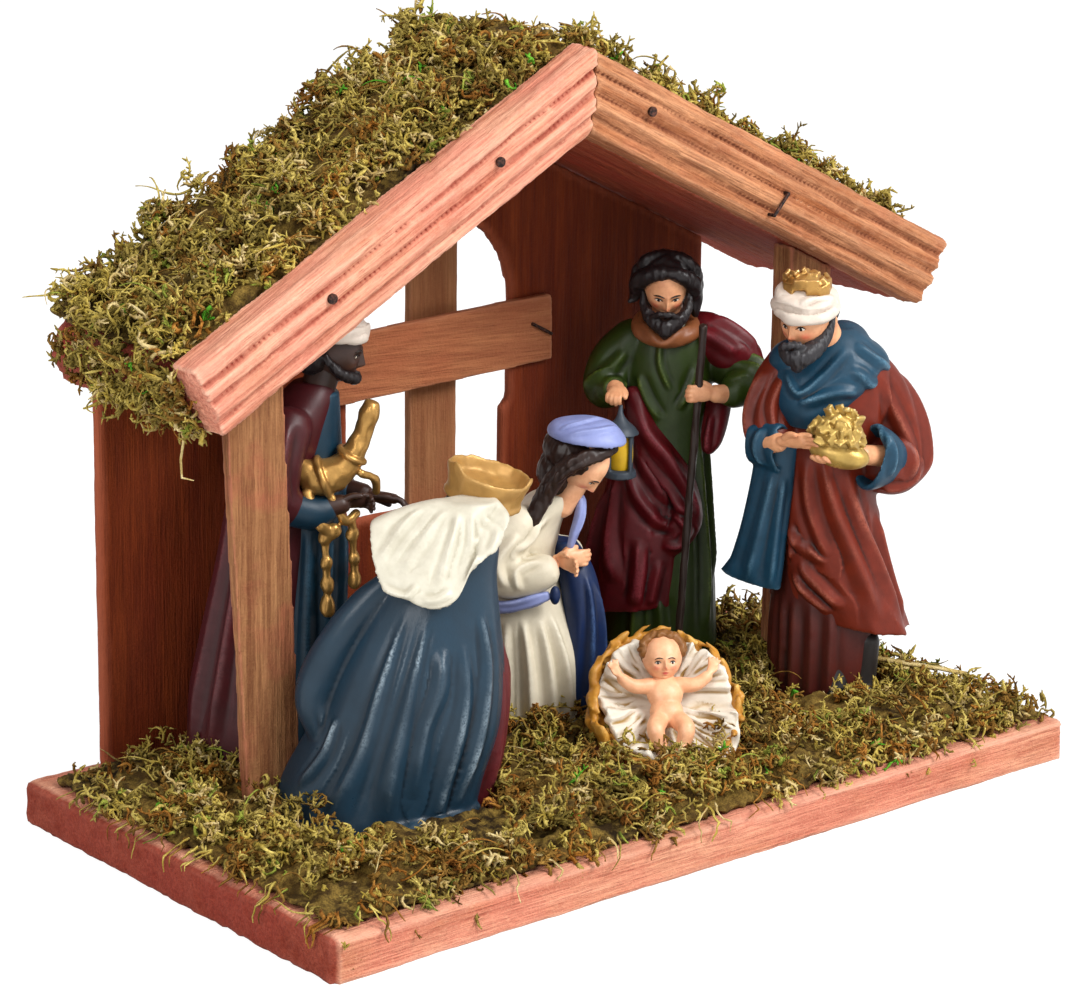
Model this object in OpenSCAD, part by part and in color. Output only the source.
// Small wooden nativity stable: an open shelter of stained boards on a mossy base, with six cast
// figures glued down in and in front of it. X runs along the front edge, Y towards the back wall
// and Z up. The origin is the middle of the base board's underside.

/* [Base board] */
// Width of the base board along its front edge
base_w = 210; // [200:1:225]
// Depth of the base board from front to back
base_d = 112; // [108:1:124]
// Thickness of the base board
base_t = 9.5; // [6:0.5:14]
// Size of the worn bevel round the base board's upright corners
base_ease = 1.2; // [0.4:0.1:3]

/* [Back wall] */
// Width of the back wall
wall_w = 174; // [160:1:180]
// Thickness of the back wall
wall_t = 3; // [2:0.1:4]
// Distance from the base board's back edge to the back wall
wall_inset = 3; // [1:0.5:6]
// How far the back wall's middle lies right of the base board's middle
wall_x = -1; // [-4:0.5:4]

/* [Window] */
// Width of the arched window
window_w = 47.2; // [40:0.2:54]
// How far the window's middle lies right of the base board's middle
window_x = 1.8; // [-6:0.2:10]
// Height of the window sill above the base board
sill_h = 45; // [36:0.5:52]
// Height above the base board at which the arch springs
spring_h = 89.3; // [84:0.1:94]
// Height above the base board of the step in the window's right edge
step_h = 65; // [60:0.5:68]
// How far the lower window edge stands in from the upper one
step_w = 2.2; // [1:0.1:4]

/* [Window bars] */
// Width of the upright bar
mullion_w = 14; // [12:0.2:16]
// How far the upright bar's middle lies right of the base board's middle
mullion_x = 5; // [0:0.2:7]
// Width of the cross bar
crossbar_w = 15.8; // [12:0.2:18]
// Length of the cross bar
crossbar_l = 69; // [62:0.5:76]
// Height of the cross bar's middle above the base board
crossbar_h = 81.5; // [78:0.5:84]
// Tilt of the cross bar, its right end up, in degrees
crossbar_tilt = 2.2; // [0:0.1:4]
// Thickness of the bars
bar_t = 2.2; // [1.5:0.1:3]
// How far the upright bar laps the wall below and above the window
mullion_lap = 9; // [6:0.5:12]

/* [Posts] */
// Distance from the posts' front to the back wall
shelter_d = 42; // [41:0.5:44]
// Width of the left post
left_post_w = 14.2; // [12:0.5:18]
// Thickness of the left post
left_post_t = 2.4; // [2:0.1:5]
// How far the left post's foot lies left of the base board's middle
left_post_x = 72.5; // [70:0.5:78]
// Lean of the left post, its top outwards, in degrees
left_post_lean = 2.8; // [0:0.1:4]
// Width of the right post
right_post_w = 13.5; // [10:0.5:16]
// Thickness of the right post
right_post_t = 6; // [3:0.5:8]
// How far the right post's foot lies right of the base board's middle
right_post_x = 81; // [78:0.5:84]

/* [Roof] */
// Height of the inner ridge above the base board
ridge_h = 136.5; // [132:0.5:142]
// How far the ridge lies right of the base board's middle
ridge_x = 6; // [2:0.5:10]
// Pitch of the left roof board, in degrees
left_pitch = 28.5; // [27:0.5:31]
// Pitch of the right roof board, in degrees
right_pitch = 25.5; // [24:0.5:28]
// Length of the left roof board along its underside
left_roof_l = 108.8; // [104:0.2:114]
// Length of the right roof board along its underside
right_roof_l = 115.8; // [111:0.2:121]
// Thickness of the roof boards
roof_t = 12; // [10:0.5:14]
// Size of the bevel along the eaves' upper edge
eave_bevel = 4.5; // [2:0.5:6]
// How far the roof boards pass the back wall
roof_overhang = 7; // [4:0.5:10]

/* [Fascia mouldings] */
// Height of the grooved mouldings along the front of the roof
fascia_h = 16.8; // [15:0.2:20]
// Thickness of the grooved mouldings
fascia_t = 9; // [7:0.5:11]
// Number of bands between the grooves
flutes = 4; // [3:1:6]
// Depth of the grooves
groove_depth = 1.3; // [0.6:0.1:2]
// How far the lowest band stands back
lip_setback = 1.4; // [0.5:0.1:2.5]

/* [Nails and staples] */
// Radius of a nail's shank
nail_r = 0.45; // [0.3:0.05:0.7]
// Radius of a nail's head
nail_head_r = 1.1; // [0.9:0.1:1.5]
// Thickness of a nail's head
nail_head_t = 0.6; // [0.4:0.1:1]
// Length of a nail
nail_l = 16; // [13:0.5:19]
// Radius of the staple wire
staple_r = 0.4; // [0.3:0.05:0.6]
// Width of a staple's crown
staple_w = 7; // [5:0.5:8]
// Length of a staple's legs
staple_leg = 4.4; // [3.5:0.1:4.8]
// Length of the brads that come up through the base board
brad_l = 15; // [13:0.5:18]

/* [Moss] */
// Mean height of the moss on the base board
bed_h = 5; // [4:0.5:8]
// Margin between the base moss and the board's edges
bed_margin = 3; // [1:0.5:8]
// Mean height of the moss on the left roof board
left_moss_h = 8; // [6:0.5:12]
// Mean height of the moss on the right roof board
right_moss_h = 6; // [4:0.5:9]

/* [Figures] */
// Height of the mother, kneeling
mary_h = 70; // [65:0.5:74]
// Height of the bearded man with staff and lantern
joseph_h = 102; // [95:0.5:106]
// Height of the king kneeling in a blue cloak
blue_king_h = 74; // [68:0.5:79]
// Height of the king in a white turban
turban_king_h = 101; // [94:0.5:105]
// Height of the king with the gold horn
horn_king_h = 104; // [97:0.5:107]
// Width of the infant's straw crib
crib_w = 37; // [33:0.5:40]
// Radius of the bearded man's staff
staff_r = 0.9; // [0.7:0.1:1.3]

/* [Hidden] */

cut = 0.5;              // overrun of every cut past the face that it opens
seat_gap = 0.3;         // moss and figures stay this far from their neighbours
nail_fit = 0.02;        // play round a nail or staple leg
full = 1;               // a whole share
half = full / 2;
cut_reach = base_w * 2; // long enough to trim anything

wall_y = base_d / 2 - wall_inset - wall_t;   // front face of the back wall
post_y = wall_y - shelter_d;                 // front of the posts, back of the mouldings
fascia_y = post_y - fascia_t;                // front of the mouldings
roof_back = wall_y + wall_t + roof_overhang;
roof_d = roof_back - post_y;
ridge_z = base_t + ridge_h;

// Where a figure stands, from its places right of the base's middle and in front of the wall
function from_wall(place) = [place[0], wall_y - place[1]];

// Underside of the roof above a place x
function underside(x) =
  ridge_z - (x < ridge_x ? (ridge_x - x) * tan(left_pitch) : (x - ridge_x) * tan(right_pitch));

// ---- Curves and skins

function unit(v) = v / norm(v);

// Point on a smooth curve through rows p, between row i and the next
function smooth(p, i, t) =
  let (a = p[max(i - 1, 0)], b = p[i], c = p[i + 1], d = p[min(i + 2, len(p) - 1)])
  (2 * b + (c - a) * t + (2 * a - 5 * b + 4 * c - d) * pow(t, 2)
    + (3 * b - a - 3 * c + d) * pow(t, 3)) / 2;
function resample(p, steps) =
  [for (i = [0:len(p) - 2], k = [0:steps - 1]) smooth(p, i, k / steps), p[len(p) - 1]];

// Skin over rings that all hold the same number of points, closed at both ends
module skin(rings) {
  n = len(rings[0]);
  last = (len(rings) - 1) * n;
  polyhedron(
    points = [for (r = rings) each r],
    faces = concat(
      [[for (i = [0:n - 1]) i]],
      [for (r = [0:len(rings) - 2], i = [0:n - 1], k = [0, 1])
        let (a = r * n + i, b = r * n + (i + 1) % n)
        k == 0 ? [a, a + n, b + n] : [a, b + n, b]],
      [[for (i = [n - 1:-1:0]) last + i]]),
    convexity = 10);
}

// Cloth standing in folds. Each row is [height, x, y, half width, half depth, fold depth], all
// as shares of h, and the fold depth as a share of the ring
module drape(rows, h, folds, phase = 0, sides = 30, steps = 2)
  skin([for (row = resample(rows, steps))
    [for (i = [0:sides - 1])
      let (a = 360 * i / sides, k = full + row[5] * cos(folds * a + phase + 90 * row[0]))
      h * [row[1] + row[3] * k * cos(a), row[2] + row[4] * k * sin(a), row[0]]]]);

// Round tube through rows of [x, y, z, radius], all as shares of h
module limb(rows, h, sides = 9, steps = 2, aside = [0.13, 0.2, 0.97]) {
  p = resample(rows, steps);
  at = [for (r = p) [r[0], r[1], r[2]]];
  skin([for (i = [0:len(p) - 1])
    let (t = unit(at[min(i + 1, len(p) - 1)] - at[max(i - 1, 0)]), u = unit(cross(t, aside)),
         v = cross(t, u))
    [for (k = [0:sides - 1])
      let (a = 360 * k / sides) h * (at[i] + p[i][3] * (cos(a) * u + sin(a) * v))]]);
}

// Two balls and the taper between them. a and b are [x, y, z, radius] as shares of h
module link(a, b, h, n = 10) hull() {
  translate(h * [a[0], a[1], a[2]]) sphere(r = h * a[3], $fn = n);
  translate(h * [b[0], b[1], b[2]]) sphere(r = h * b[3], $fn = n);
}

// Ball stretched to [half width, half depth, half height], as shares of h
module egg(at, size, h, tilt = [0, 0, 0], n = 12)
  translate(h * at) rotate(tilt) scale(h * size) sphere(r = full, $fn = n);

// ---- Boards

// Puts a child on a roof side: X down the slope from the inner ridge, Z square to the board
module on_left_slope() translate([ridge_x, 0, ridge_z]) mirror([1, 0, 0])
  rotate([0, left_pitch, 0]) children();
module on_right_slope() translate([ridge_x, 0, ridge_z]) rotate([0, right_pitch, 0]) children();

// Outline in X and Z, run back from y to y + depth
module upright(y, depth) translate([0, y + depth, 0]) rotate([90, 0, 0])
  linear_extrude(height = depth) children();

// Hole along Y for a nail or a staple leg
module y_hole(at, r, depth) translate(at) rotate([-90, 0, 0]) cylinder(r = r, h = depth, $fn = 24);

module base_board() color("indianred") {
  w = base_w / 2;
  d = base_d / 2;
  e = base_ease;
  difference() {
    linear_extrude(height = base_t)
      polygon([[e - w, -d], [w - e, -d], [w, e - d], [w, d - e], [w - e, d], [e - w, d],
               [-w, d - e], [-w, e - d]]);
    for (at = brad_spots()) translate([at[0], at[1], 0]) {
      translate([0, 0, -cut]) cylinder(r = nail_r + nail_fit, h = base_t + 2 * cut, $fn = 24);
      translate([0, 0, -cut])
        cylinder(r = nail_head_r + nail_fit, h = nail_head_t + nail_fit + cut + nail_sink, $fn = 24);
    }
  }
}

nail_sink = 0.3;        // how far the brads' heads lie inside the underside

// Brads stand under the back wall and the two posts
brad_wall_shares = [-0.42, 0.0, 0.42];
function brad_spots() = concat(
  [for (s = brad_wall_shares) [wall_x + s * wall_w, wall_y + wall_t / 2]],
  [[-left_post_x, post_y + left_post_t / 2], [right_post_x, post_y + right_post_t / 2]]);

module base_brads() color("dimgray") for (at = brad_spots()) translate([at[0], at[1], nail_sink]) {
  cylinder(r = nail_head_r, h = nail_head_t, $fn = 24);
  cylinder(r = nail_r, h = brad_l, $fn = 24);
}

module brad_holes() for (at = brad_spots()) translate([at[0], at[1], 0])
  cylinder(r = nail_r + nail_fit, h = nail_sink + brad_l + nail_fit, $fn = 24);

// Window opening as an outline: a round arch over straight sides, the lower part a step narrower
module window_outline() translate([window_x, base_t]) {
  translate([0, spring_h]) circle(r = window_w / 2, $fn = 96);
  translate([-window_w / 2, step_h]) square([window_w, spring_h - step_h]);
  translate([-window_w / 2, sill_h]) square([window_w - step_w, step_h - sill_h]);
}

module back_wall() color("saddlebrown") {
  left = wall_x - wall_w / 2;
  right = wall_x + wall_w / 2;
  difference() {
    upright(wall_y, wall_t) polygon([[left, base_t], [right, base_t], [right, underside(right)],
      [ridge_x, ridge_z], [left, underside(left)]]);
    upright(wall_y - cut, wall_t + 2 * cut) window_outline();
    brad_holes();
    for (at = crossbar_leg_spots())
      y_hole([at[0], wall_y - cut, at[1]], staple_r + nail_fit, cut + staple_leg - bar_t + nail_fit);
    for (at = mullion_leg_spots())
      y_hole([at[0], wall_y + wall_t - (staple_leg - bar_t) - nail_fit, at[1]],
        staple_r + nail_fit, staple_leg + cut);
  }
}

// ---- Window bars and their staples

crossbar_z = base_t + crossbar_h;
crossbar_end_share = 0.45;     // where the cross bar's staples sit, of its length
mullion_foot = base_t + sill_h - mullion_lap;
mullion_head = base_t + spring_h + window_w / 2 + mullion_lap;
mullion_hold = mullion_lap / 2;

// A staple sits across its bar, so its two legs lie half a crown from the middle
staple_half = staple_w / 2 - staple_r;
function crossbar_leg_spots() = [for (side = [-1, 1], leg = [-1, 1])
  [window_x + side * crossbar_end_share * crossbar_l + leg * staple_half * cos(staple_turn),
   crossbar_z + side * crossbar_end_share * crossbar_l * tan(crossbar_tilt)
     - leg * staple_half * sin(staple_turn)]];
function mullion_leg_spots() = [for (z = [mullion_foot + mullion_hold, mullion_head - mullion_hold],
  leg = [-1, 1]) [mullion_x + leg * staple_half, z]];
staple_turn = 28;              // degrees by which the cross bar's staples sit askew

module window_crossbar() color("sienna") difference() {
  translate([window_x, wall_y - bar_t, crossbar_z]) rotate([0, -crossbar_tilt, 0])
    translate([-crossbar_l / 2, 0, -crossbar_w / 2]) cube([crossbar_l, bar_t, crossbar_w]);
  for (at = crossbar_leg_spots())
    y_hole([at[0], wall_y - bar_t - cut, at[1]], staple_r + nail_fit, bar_t + 2 * cut);
}

module window_mullion() color("peru") difference() {
  translate([mullion_x - mullion_w / 2, wall_y + wall_t, mullion_foot])
    cube([mullion_w, bar_t, mullion_head - mullion_foot]);
  for (at = mullion_leg_spots())
    y_hole([at[0], wall_y + wall_t - cut, at[1]], staple_r + nail_fit, bar_t + 2 * cut);
}

// Staple with its crown along X and its legs running back along Y, crown middle at the origin
module staple() {
  for (side = [-1, 1]) translate([side * staple_half, 0, 0]) {
    rotate([-90, 0, 0]) cylinder(r = staple_r, h = staple_leg, $fn = 24);
    sphere(r = staple_r, $fn = 24);
  }
  translate([-staple_half, 0, 0]) rotate([0, 90, 0])
    cylinder(r = staple_r, h = 2 * staple_half, $fn = 24);
}

module crossbar_staples() color("dimgray") for (side = [-1, 1])
  translate([window_x + side * crossbar_end_share * crossbar_l, wall_y - bar_t - staple_r,
    crossbar_z + side * crossbar_end_share * crossbar_l * tan(crossbar_tilt)])
    rotate([0, staple_turn, 0]) staple();

module mullion_staples() color("dimgray")
  for (z = [mullion_foot + mullion_hold, mullion_head - mullion_hold])
    translate([mullion_x, wall_y + wall_t + bar_t + staple_r, z]) rotate([0, 0, 180]) staple();

// ---- Posts: their tops are cut to the slope of the roof

module post(foot_x, w, lean, t) {
  top = function (x) foot_x + x - (underside(foot_x) - base_t) * tan(lean);
  difference() {
    upright(post_y, t) polygon([[foot_x - w / 2, base_t], [foot_x + w / 2, base_t],
      [top(w / 2), underside(top(w / 2))], [top(-w / 2), underside(top(-w / 2))]]);
    brad_holes();
  }
}
module post_left() color("rosybrown") post(-left_post_x, left_post_w, left_post_lean, left_post_t);
module post_right() color("maroon") post(right_post_x, right_post_w, 0, right_post_t);

// ---- Roof boards and mouldings

// Side view of a board on its slope, with the mitre at the ridge at its left
module board_outline(l, t, pitch, bevel = 0)
  polygon([[0, 0], [l, 0], [l, t - bevel], [l - bevel, t], [-t * tan(pitch), t]]);

module roof_board(l, pitch, nail_shares) difference() {
  upright(post_y, roof_d) board_outline(l, roof_t, pitch, eave_bevel);
  for (s = nail_shares) y_hole([s * l, post_y - cut, nail_up], nail_r + nail_fit,
    cut + nail_l + nail_head_t - fascia_t + nail_fit);
}
module roof_board_left() color("indianred") on_left_slope()
  roof_board(left_roof_l, left_pitch, left_nail_shares);
module roof_board_right() color("indianred") on_right_slope() difference() {
  roof_board(right_roof_l, right_pitch, right_nail_shares);
}

left_nail_shares = [0.229, 0.684];      // nails along the left moulding, of its length
right_nail_shares = [0.105];
right_staple_share = 0.506;
nail_up = roof_t - 1.6;                 // height of the nails above the roof's underside
staple_up_share = 0.33;                // height of the moulding's staple, of its height
flute_steps = 8;                       // facets on each band of the mouldings

// Depth of the front face at a share of the moulding's height: sharp grooves between flat bands,
// and the lowest band standing back
function flute(s) = groove_depth * pow(abs(cos(180 * flutes * s)), 7)
  + (s * flutes < full ? lip_setback : 0);

module fascia(l, pitch) intersection() {
  translate([-fascia_h, 0, 0]) rotate([90, 0, 90]) linear_extrude(height = l + 2 * fascia_h)
    polygon(concat([[post_y, fascia_h], [post_y, 0]],
      [for (i = [0:flutes * flute_steps]) let (s = i / (flutes * flute_steps))
        [fascia_y + flute(s), s * fascia_h]]));
  upright(fascia_y - cut, fascia_t + 2 * cut) board_outline(l, fascia_h, pitch);
}

module fascia_hole(l, s) y_hole([s * l, fascia_y - cut, nail_up], nail_r + nail_fit,
  fascia_t + 2 * cut);

module fascia_left() color("lightcoral") on_left_slope() difference() {
  fascia(left_roof_l, left_pitch);
  for (s = left_nail_shares) fascia_hole(left_roof_l, s);
}
module fascia_right() color("darksalmon") on_right_slope() difference() {
  fascia(right_roof_l, right_pitch);
  for (s = right_nail_shares) fascia_hole(right_roof_l, s);
  for (leg = [-1, 1]) translate([right_staple_share * right_roof_l, fascia_y - cut, staple_up()])
    rotate([0, fascia_staple_turn, 0])
      y_hole([leg * staple_half, 0, 0], staple_r + nail_fit, cut + staple_leg);
}
fascia_staple_turn = -73;      // degrees by which the moulding's staple sits across the grooves
function staple_up() = staple_up_share * fascia_h;

// Nail heads bear on the bands' faces, so they sit at the front of the grooves
module slope_nail(l, s) translate([s * l, fascia_y, nail_up]) rotate([-90, 0, 0]) {
  translate([0, 0, -nail_head_t]) cylinder(r = nail_head_r, h = nail_head_t, $fn = 24);
  cylinder(r = nail_r, h = nail_l, $fn = 24);
}
module fascia_nails() color("dimgray") {
  on_left_slope() for (s = left_nail_shares) slope_nail(left_roof_l, s);
  on_right_slope() for (s = right_nail_shares) slope_nail(right_roof_l, s);
}
module fascia_staple() color("black") on_right_slope()
  translate([right_staple_share * right_roof_l, fascia_y - staple_r, staple_up()])
    rotate([0, fascia_staple_turn, 0]) staple();

// ---- Moss: closed mats with a lumpy top

// Lumps between -1 and 1 from a place in millimetres
function lumps(x, y) = (sin(9 * x + 31) * cos(13 * y) + sin(17 * y - 23 * x) + cos(29 * x + 7 * y)) / 3;

// Mat over [0, l] x [0, d], its top h high and lumpy by a share, thinner by edge_share at its rim.
// With a lean its end at x = 0 keeps its height and slopes back, by lean for each unit of height
module mat(l, d, h, nx, ny, lump_share, edge_share, start = 0, lean = 0) {
  high = function (x, y)
    let (end = lean > 0 ? full : x / nx,
         rim = min(end, full - x / nx, y / ny, full - y / ny) * min(nx, ny) / 2)
    h * (full + lump_share * lumps(start + l * x / nx, d * y / ny))
      * (rim >= full ? full : edge_share + (full - edge_share) * rim);
  top = [for (x = [0:nx], y = [0:ny])
    [l * x / nx - lean * high(x, y) * (full - x / nx), d * y / ny, high(x, y)]];
  n = len(top);
  id = function (x, y) x * (ny + 1) + y;
  rim = concat([for (x = [0:nx]) id(x, 0)], [for (y = [1:ny]) id(nx, y)],
    [for (x = [nx - 1:-1:0]) id(x, ny)], [for (y = [ny - 1:-1:1]) id(0, y)]);
  m = len(rim);
  polyhedron(
    points = concat(top, [for (i = rim) [l * floor(i / (ny + 1)) / nx, top[i][1], 0]],
      [[l / 2, d / 2, 0]]),
    faces = concat(
      [for (x = [0:nx - 1], y = [0:ny - 1], k = [0, 1]) k == 0
        ? [id(x, y), id(x + 1, y + 1), id(x + 1, y)] : [id(x, y), id(x, y + 1), id(x + 1, y + 1)]],
      [for (i = [0:m - 1], k = [0:2]) let (j = (i + 1) % m)
        k == 0 ? [rim[i], rim[j], n + j] : k == 1 ? [rim[i], n + j, n + i] : [n + i, n + j, n + m]]),
    convexity = 10);
}

// Room for a figure's foot in the base moss
module foot_room(spot, rows, h, turn) translate([spot[0], spot[1], 0]) rotate([0, 0, turn]) hull()
  for (z = [base_t - cut, base_t + 3 * bed_h], row = [rows[0], rows[1]])
    translate([h * row[1], h * row[2], z])
      linear_extrude(height = cut)
        scale([h * row[3] * (full + row[5]) + seat_gap, h * row[4] * (full + row[5]) + seat_gap])
          circle(r = full, $fn = 28);

module post_room(x, w, t) hull() for (z = [base_t - cut, base_t + 3 * bed_h])
  translate([x - w / 2 - seat_gap - bed_h * tan(left_post_lean), post_y - seat_gap, z])
    cube([w + 2 * seat_gap + bed_h * tan(left_post_lean), t + 2 * seat_gap, cut]);

module base_moss() color("darkkhaki") difference() {
  translate([bed_margin - base_w / 2, bed_margin - base_d / 2, base_t])
    mat(base_w - 2 * bed_margin, wall_y - bed_margin - seat_gap + base_d / 2, bed_h, 26, 14, 0.45,
      0.4);
  foot_room(mary_spot, mary_robe_shares, mary_h, mary_turn);
  foot_room(mary_spot, mary_mantle_shares, mary_h, mary_turn);
  foot_room(joseph_spot, joseph_robe_shares, joseph_h, joseph_turn);
  staff_rod(seat_gap);
  foot_room(blue_king_spot, blue_king_robe_shares, blue_king_h, blue_king_turn);
  foot_room(blue_king_spot, blue_king_train_shares, blue_king_h, blue_king_turn);
  foot_room(turban_king_spot, turban_king_robe_shares, turban_king_h, turban_king_turn);
  foot_room(horn_king_spot, horn_king_robe_shares, horn_king_h, horn_king_turn);
  crib_room();
  post_room(-left_post_x, left_post_w, left_post_t);
  post_room(right_post_x, right_post_w, right_post_t);
}

module roof_moss(l, pitch, h, start)
  translate([-(roof_t + seat_gap) * tan(pitch) + seat_gap, post_y + seat_gap, roof_t + seat_gap])
    mat(l + (roof_t + seat_gap) * tan(pitch) - eave_bevel, roof_d - seat_gap, h, 14, 9, 0.4, 0.5,
      start, tan(pitch));
module roof_moss_left() color("olive") on_left_slope()
  roof_moss(left_roof_l, left_pitch, left_moss_h, 0);
module roof_moss_right() color("olive") on_right_slope()
  roof_moss(right_roof_l, right_pitch, right_moss_h, base_w);

// ---- Figures: each stands on the base board, and its own front is -Y before it is turned

module stand(spot, turn) translate([spot[0], spot[1], base_t]) rotate([0, 0, turn]) children();

// Head seen from its own front: face ovoid, nose, brow and chin on plain proportions.
// size is the head's height from chin to crown
module head(at, size, tilt = [0, 0, 0]) translate(at) rotate(tilt) {
  egg([0, 0, 0], [0.36, 0.42, 0.5], size);
  egg([0, -0.12, -0.2], [0.26, 0.27, 0.28], size);
  link([0, -0.39, 0.06, 0.035], [0, -0.47, -0.1, 0.055], size, 8);
}

// Hand as a palm and a row of fingers curled over it
module hand(at, size, turn = [0, 0, 0]) translate(at) rotate(turn) {
  link([0, 0, 0, 0.3], [0, -0.3, 0.05, 0.28], size, 8);
  link([0.1, -0.45, 0.1, 0.16], [-0.15, -0.5, -0.1, 0.16], size, 8);
}

// Mother, kneeling with her hands together and a veil over her long hair
mary_place = [9, 34];
mary_spot = from_wall(mary_place);
mary_turn = 30;
mary_robe_shares = [
  [0.00, 0.00, 0.03, 0.21, 0.18, 0.05], [0.12, 0.00, 0.03, 0.20, 0.17, 0.06],
  [0.28, 0.00, 0.04, 0.17, 0.16, 0.05], [0.42, 0.00, 0.08, 0.15, 0.13, 0.03],
  [0.56, 0.00, 0.11, 0.15, 0.12, 0.01], [0.68, 0.00, 0.07, 0.14, 0.11, 0.00],
  [0.75, 0.00, 0.00, 0.07, 0.08, 0.00]];
module mary() color("linen") stand(mary_spot, mary_turn) {
  drape(mary_robe_shares, mary_h, 9);
  drape(mary_mantle_shares, mary_h, 7, 0, 20);
  head([0, -0.14 * mary_h, 0.885 * mary_h], 0.195 * mary_h, [28, 0, 0]);
  egg([0, -0.10, 0.91], [0.095, 0.11, 0.095], mary_h, [28, 0, 0]);
  for (side = [-1, 1]) {
    link([side * 0.13, 0.08, 0.66, 0.065], [side * 0.16, 0.13, 0.50, 0.07], mary_h);
    link([side * 0.16, 0.13, 0.50, 0.07], [side * 0.05, -0.02, 0.53, 0.05], mary_h);
    link([side * 0.03, -0.04, 0.54, 0.035], [side * 0.01, -0.08, 0.60, 0.028], mary_h, 8);
  }
  link([-0.07, -0.02, 0.86, 0.04], [-0.10, 0.03, 0.64, 0.03], mary_h, 8);
  limb([[0.00, -0.01, 0.88, 0.07], [-0.02, 0.08, 0.76, 0.06], [-0.04, 0.13, 0.62, 0.05],
        [-0.05, 0.16, 0.50, 0.02]], mary_h);
}
mary_mantle_shares = [
  [0.02, 0.06, -0.05, 0.12, 0.10, 0.06], [0.20, 0.06, -0.06, 0.12, 0.10, 0.06],
  [0.38, 0.06, -0.05, 0.10, 0.08, 0.04], [0.48, 0.06, -0.02, 0.05, 0.05, 0.00]];

// Bearded man in green with a dark red cloak, a staff in one hand and a lantern in the other
joseph_place = [54, 23];
joseph_spot = from_wall(joseph_place);
joseph_turn = -45;
joseph_robe_shares = [
  [0.00, 0.00, 0.00, 0.145, 0.12, 0.07], [0.10, 0.00, 0.00, 0.14, 0.115, 0.07],
  [0.28, 0.00, 0.00, 0.12, 0.10, 0.06], [0.46, 0.00, 0.00, 0.095, 0.085, 0.03],
  [0.60, 0.00, 0.00, 0.09, 0.075, 0.01], [0.74, 0.00, 0.00, 0.10, 0.07, 0.00],
  [0.81, 0.00, 0.00, 0.085, 0.06, 0.00], [0.845, -0.01, -0.01, 0.04, 0.04, 0.00]];
joseph_cloak_shares = [
  [0.10, -0.045, -0.01, 0.12, 0.13, 0.07], [0.24, -0.045, -0.01, 0.115, 0.125, 0.08],
  [0.38, -0.04, -0.01, 0.10, 0.11, 0.06], [0.50, -0.03, 0.00, 0.08, 0.09, 0.04],
  [0.62, -0.02, 0.01, 0.07, 0.075, 0.0]];
joseph_staff_foot = [0.04, -0.165, 0];
joseph_staff_head = [0.082, -0.12, 0.85];
module staff_rod(extra) stand(joseph_spot, joseph_turn) hull() {
  translate(joseph_h * joseph_staff_foot) sphere(r = staff_r + extra, $fn = 12);
  translate(joseph_h * joseph_staff_head) sphere(r = staff_r + extra, $fn = 12);
}
module joseph_staff() color("black") difference() {
  staff_rod(0);
  translate([0, 0, base_t - cut_reach / 2]) cube(cut_reach, center = true);
}
module lantern(at, h) translate(h * at) {
  cylinder(r = 0.042 * h, h = 0.015 * h, $fn = 12);
  cylinder(r = 0.034 * h, h = 0.08 * h, $fn = 12);
  translate([0, 0, 0.08 * h]) cylinder(r1 = 0.05 * h, r2 = 0.018 * h, h = 0.04 * h, $fn = 12);
  link([0, 0, 0.11, 0.015], [0, 0, 0.17, 0.012], h, 8);
}
module joseph() color("darkolivegreen") difference() {
  stand(joseph_spot, joseph_turn) {
    drape(joseph_robe_shares, joseph_h, 9);
    drape(joseph_cloak_shares, joseph_h, 7, 60, 24);
    head([-0.012 * joseph_h, -0.035 * joseph_h, 0.895 * joseph_h], 0.145 * joseph_h, [14, 0, 0]);
    egg([-0.012, -0.005, 0.925], [0.07, 0.072, 0.072], joseph_h, [10, 0, 0]);
    link([-0.012, -0.07, 0.84, 0.042], [-0.012, -0.075, 0.81, 0.02], joseph_h, 8);
    link([-0.085, 0.00, 0.79, 0.045], [-0.135, 0.00, 0.70, 0.045], joseph_h);
    link([-0.135, 0.00, 0.70, 0.045], [-0.105, -0.10, 0.675, 0.032], joseph_h);
    link([0.085, 0.00, 0.79, 0.045], [0.155, 0.00, 0.71, 0.05], joseph_h);
    link([0.155, 0.00, 0.71, 0.05], [0.10, -0.10, 0.675, 0.035], joseph_h);
    hand([-0.11 * joseph_h, -0.12 * joseph_h, 0.665 * joseph_h], 0.07 * joseph_h);
    hand([0.085 * joseph_h, -0.11 * joseph_h, 0.67 * joseph_h], 0.07 * joseph_h, [0, 0, -40]);
    lantern([-0.10, -0.145, 0.48], joseph_h);
  }
  staff_rod(seat_gap);
}

// King kneeling with his back to the front, in a blue cloak with a white cape and a gold crown
blue_king_place = [-51, 58];
blue_king_spot = from_wall(blue_king_place);
blue_king_turn = 90;
blue_king_robe_shares = [
  [0.00, 0.00, 0.00, 0.235, 0.26, 0.07], [0.12, 0.00, 0.00, 0.235, 0.26, 0.08],
  [0.33, 0.00, -0.01, 0.22, 0.24, 0.07], [0.50, 0.00, -0.07, 0.19, 0.19, 0.04],
  [0.62, 0.00, -0.13, 0.18, 0.16, 0.02], [0.76, 0.00, -0.21, 0.17, 0.14, 0.00],
  [0.84, 0.00, -0.25, 0.13, 0.11, 0.00], [0.89, 0.00, -0.25, 0.07, 0.07, 0.00]];
blue_king_cape_shares = [
  [0.57, 0.03, 0.06, 0.20, 0.19, 0.05], [0.68, 0.02, 0.05, 0.22, 0.20, 0.04],
  [0.82, 0.00, 0.02, 0.19, 0.16, 0.01], [0.93, 0.00, -0.02, 0.10, 0.10, 0.00]];
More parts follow.
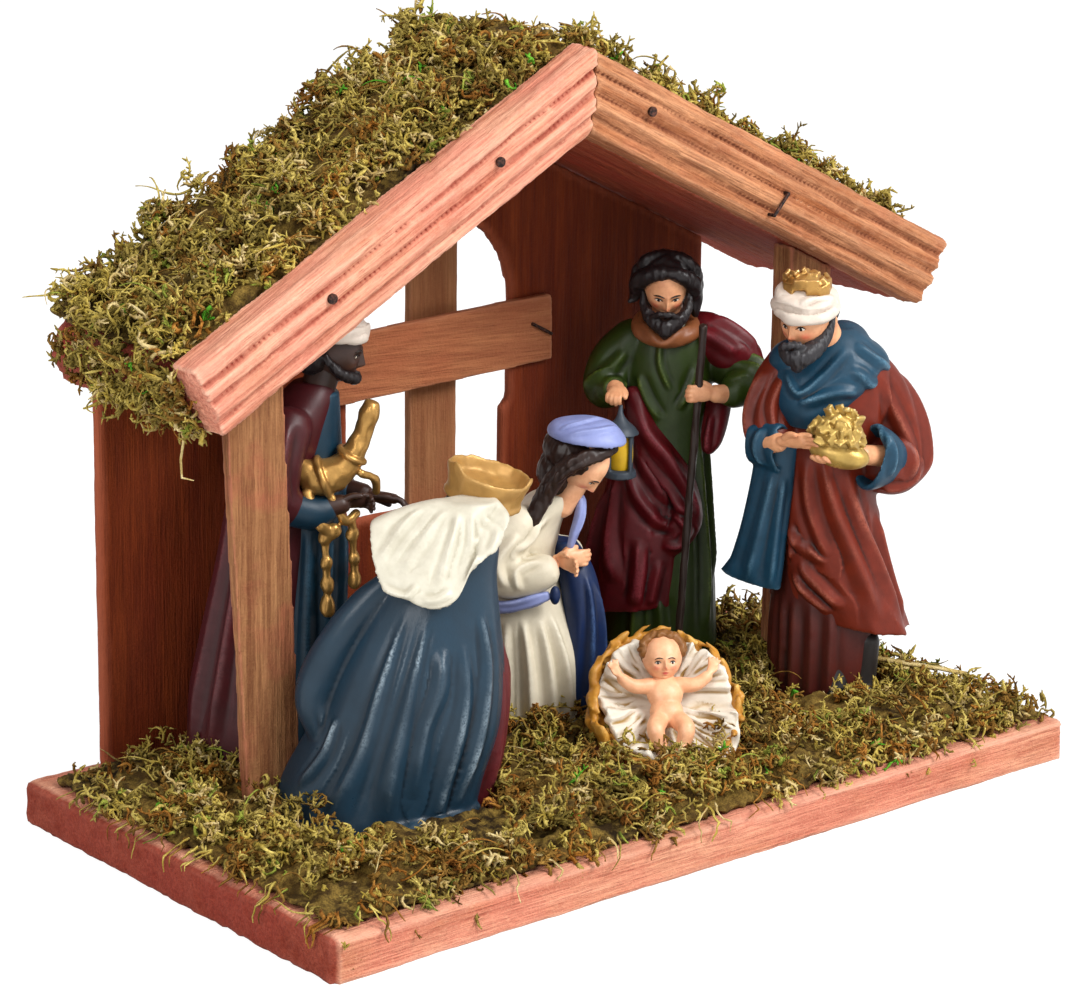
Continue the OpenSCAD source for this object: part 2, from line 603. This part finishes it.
blue_king_train_shares = [
  [0.00, -0.02, 0.19, 0.16, 0.17, 0.07], [0.12, -0.01, 0.16, 0.16, 0.17, 0.07],
  [0.30, 0.00, 0.08, 0.16, 0.17, 0.05], [0.50, 0.00, -0.02, 0.12, 0.12, 0.00]];
cape_tilt = 20;
crown_at_share = [0, -0.265, 0.85];
crown_tilt = [10, -12, 0];
module crown(size) difference() {
  cylinder(r1 = 0.50 * size, r2 = 0.58 * size, h = 0.5 * size, $fn = 12);
  translate([0, 0, 0.15 * size]) cylinder(r1 = 0.38 * size, r2 = 0.52 * size, h = size, $fn = 12);
  for (a = [0:60:300]) rotate([0, 0, a]) translate([0.54 * size, 0, 0.54 * size])
    rotate([0, 45, 0]) cube(0.16 * size, center = true);
}
module blue_king() color("steelblue") stand(blue_king_spot, blue_king_turn) {
  drape(blue_king_robe_shares, blue_king_h, 9, 40);
  drape(blue_king_train_shares, blue_king_h, 7, 0, 24);
  rotate([cape_tilt, 0, 0]) drape(blue_king_cape_shares, blue_king_h, 11, 0, 24);
  head([0, -0.27 * blue_king_h, 0.86 * blue_king_h], 0.19 * blue_king_h, [12, 0, 0]);
  link([0, -0.33, 0.79, 0.05], [0, -0.34, 0.73, 0.03], blue_king_h, 8);
  translate(blue_king_h * crown_at_share) rotate(crown_tilt) crown(0.24 * blue_king_h);
  for (side = [-1, 1]) {
    link([side * 0.14, -0.22, 0.74, 0.07], [side * 0.13, -0.24, 0.56, 0.065], blue_king_h);
    link([side * 0.13, -0.24, 0.56, 0.065], [0.06 + side * 0.04, -0.34, 0.62, 0.045], blue_king_h);
    hand([(0.06 + side * 0.03) * blue_king_h, -0.34 * blue_king_h, 0.63 * blue_king_h],
      0.08 * blue_king_h, [-30, 0, 0]);
  }
}

// King in a red-brown cloak over a blue robe, with a white turban, holding his gift in both hands
turban_king_place = [71.5, 59.2];
turban_king_spot = from_wall(turban_king_place);
turban_king_turn = -55;
turban_king_robe_shares = [
  [0.00, 0.00, 0.00, 0.13, 0.11, 0.05], [0.08, 0.00, 0.00, 0.145, 0.12, 0.06],
  [0.15, 0.00, -0.01, 0.19, 0.13, 0.06], [0.22, 0.00, -0.01, 0.19, 0.13, 0.06],
  [0.36, 0.00, 0.00, 0.16, 0.12, 0.05], [0.50, 0.00, 0.00, 0.135, 0.11, 0.03],
  [0.64, 0.00, -0.01, 0.135, 0.10, 0.01], [0.74, 0.00, -0.03, 0.13, 0.09, 0.00],
  [0.80, -0.02, -0.06, 0.07, 0.06, 0.00]];
module turban_king() color("brown") stand(turban_king_spot, turban_king_turn) {
  drape(turban_king_robe_shares, turban_king_h, 9, 20);
  translate(turban_king_h * [-0.035, -0.095, 0]) rotate([0, 0, -18]) {
    head([0, 0, 0.855 * turban_king_h], 0.15 * turban_king_h, [18, 0, 0]);
    link([0, -0.045, 0.81, 0.045], [0, -0.06, 0.77, 0.025], turban_king_h, 8);
    egg([0, 0.01, 0.91], [0.088, 0.092, 0.042], turban_king_h, [14, 0, 0]);
    egg([0, 0.01, 0.95], [0.062, 0.066, 0.042], turban_king_h, [14, 0, 0]);
    link([-0.02, 0.00, 0.975, 0.024], [0.02, 0.02, 0.978, 0.022], turban_king_h, 8);
  }
  link([0.12, 0.00, 0.73, 0.06], [0.18, 0.01, 0.54, 0.07], turban_king_h);
  link([0.18, 0.01, 0.54, 0.07], [0.11, -0.13, 0.58, 0.045], turban_king_h);
  link([-0.12, 0.00, 0.73, 0.055], [-0.13, -0.03, 0.53, 0.06], turban_king_h);
  link([-0.13, -0.03, 0.53, 0.06], [-0.05, -0.15, 0.60, 0.045], turban_king_h);
  hand([-0.03 * turban_king_h, -0.15 * turban_king_h, 0.60 * turban_king_h],
    0.08 * turban_king_h, [0, 0, 40]);
  hand([0.09 * turban_king_h, -0.14 * turban_king_h, 0.59 * turban_king_h],
    0.08 * turban_king_h, [0, 0, -40]);
  egg([0.04, -0.18, 0.63], [0.08, 0.06, 0.045], turban_king_h);
}

// King with the gold horn, in a dark red robe with a blue-green front
horn_king_place = [-54, 20];
horn_king_spot = from_wall(horn_king_place);
horn_king_turn = 50;
horn_king_robe_shares = [
  [0.00, 0.00, 0.05, 0.14, 0.15, 0.06], [0.10, 0.00, 0.05, 0.135, 0.15, 0.06],
  [0.28, 0.00, 0.04, 0.12, 0.135, 0.05], [0.46, 0.00, 0.02, 0.105, 0.115, 0.03],
  [0.62, 0.00, 0.00, 0.11, 0.095, 0.01], [0.75, 0.00, -0.03, 0.11, 0.08, 0.00],
  [0.82, 0.00, -0.06, 0.065, 0.055, 0.00]];
module horn_king() color("darkred") stand(horn_king_spot, horn_king_turn) {
  drape(horn_king_robe_shares, horn_king_h, 9, 10);
  link([0, -0.06, 0.80, 0.05], [0, -0.09, 0.87, 0.045], horn_king_h, 8);
  head([0, -0.105 * horn_king_h, 0.905 * horn_king_h], 0.145 * horn_king_h, [12, 0, 0]);
  egg([0, -0.09, 0.95], [0.08, 0.085, 0.045], horn_king_h, [8, 0, 0]);
  for (side = [-1, 1]) {
    link([side * 0.11, -0.03, 0.75, 0.05], [side * 0.14, -0.03, 0.60, 0.055], horn_king_h);
    link([side * 0.14, -0.03, 0.60, 0.055], [side * 0.045, -0.15, 0.60, 0.035], horn_king_h);
  }
  hand([-0.03 * horn_king_h, -0.16 * horn_king_h, 0.60 * horn_king_h], 0.08 * horn_king_h);
  hand([0.04 * horn_king_h, -0.18 * horn_king_h, 0.585 * horn_king_h], 0.08 * horn_king_h);
  limb([[-0.06, -0.05, 0.60, 0.02], [-0.06, -0.10, 0.62, 0.035], [-0.04, -0.145, 0.64, 0.034],
        [-0.02, -0.165, 0.70, 0.026], [-0.02, -0.172, 0.75, 0.02], [-0.02, -0.182, 0.775, 0.022]],
    horn_king_h, 10, 2, [0.97, 0.2, 0.1]);
  link([-0.06, -0.07, 0.60, 0.026], [-0.07, -0.08, 0.36, 0.016], horn_king_h, 8);
  link([-0.05, -0.12, 0.60, 0.02], [-0.06, -0.11, 0.44, 0.014], horn_king_h, 8);
}

// Infant on a white cloth in a round straw crib that leans back on the moss
crib_place = [15, 67];
crib_spot = from_wall(crib_place);
crib_turn = -32;
crib_tilt = 46;
crib_lift_share = 0.33;
crib_wall_share = 0.1;
module crib_room() translate([crib_spot[0], crib_spot[1], 0]) hull()
  for (z = [base_t - cut, base_t + 3 * bed_h]) translate([0, 0, z])
    cylinder(r = 0.52 * crib_w, h = cut, $fn = 28);
module infant_in_crib() color("wheat") difference() {
  stand(crib_spot, crib_turn) translate([0, 0, crib_lift_share * crib_w]) rotate([crib_tilt, 0, 0]) {
    difference() {
      skin([for (row = resample([[-0.20, 0.20, 0.0], [-0.12, 0.36, 0.03], [0.0, 0.47, 0.05],
          [0.10, 0.50, 0.06]], 2))
        [for (i = [0:31]) let (a = 360 * i / 32, r = crib_w * row[1] * (full + row[2] * cos(8 * a)))
          [r * cos(a), r * sin(a), crib_w * row[0]]]]);
      egg([0, 0, 0.14], [0.43, 0.43, 0.20], crib_w);
    }
    link([0, 0.02, -0.01, 0.11], [0, -0.14, 0.0, 0.10], crib_w);
    head([0, 0.20 * crib_w, 0.06 * crib_w], 0.23 * crib_w, [-80, 0, 0]);
    for (side = [-1, 1]) {
      link([side * 0.09, 0.06, 0.02, 0.045], [side * 0.22, 0.10, 0.06, 0.035], crib_w, 8);
      link([side * 0.22, 0.10, 0.06, 0.035], [side * 0.28, 0.18, 0.10, 0.035], crib_w, 8);
      link([side * 0.06, -0.18, 0.02, 0.055], [side * 0.09, -0.26, 0.10, 0.05], crib_w, 8);
      link([side * 0.09, -0.26, 0.10, 0.05], [side * 0.05, -0.34, 0.05, 0.035], crib_w, 8);
    }
  }
  translate([0, 0, base_t - cut_reach / 2]) cube(cut_reach, center = true);
}

base_board();
back_wall();
window_mullion();
window_crossbar();
post_left();
post_right();
roof_board_left();
roof_board_right();
fascia_left();
fascia_right();
fascia_nails();
fascia_staple();
crossbar_staples();
mullion_staples();
base_brads();
base_moss();
roof_moss_left();
roof_moss_right();
mary();
joseph();
joseph_staff();
infant_in_crib();
blue_king();
turban_king();
horn_king();
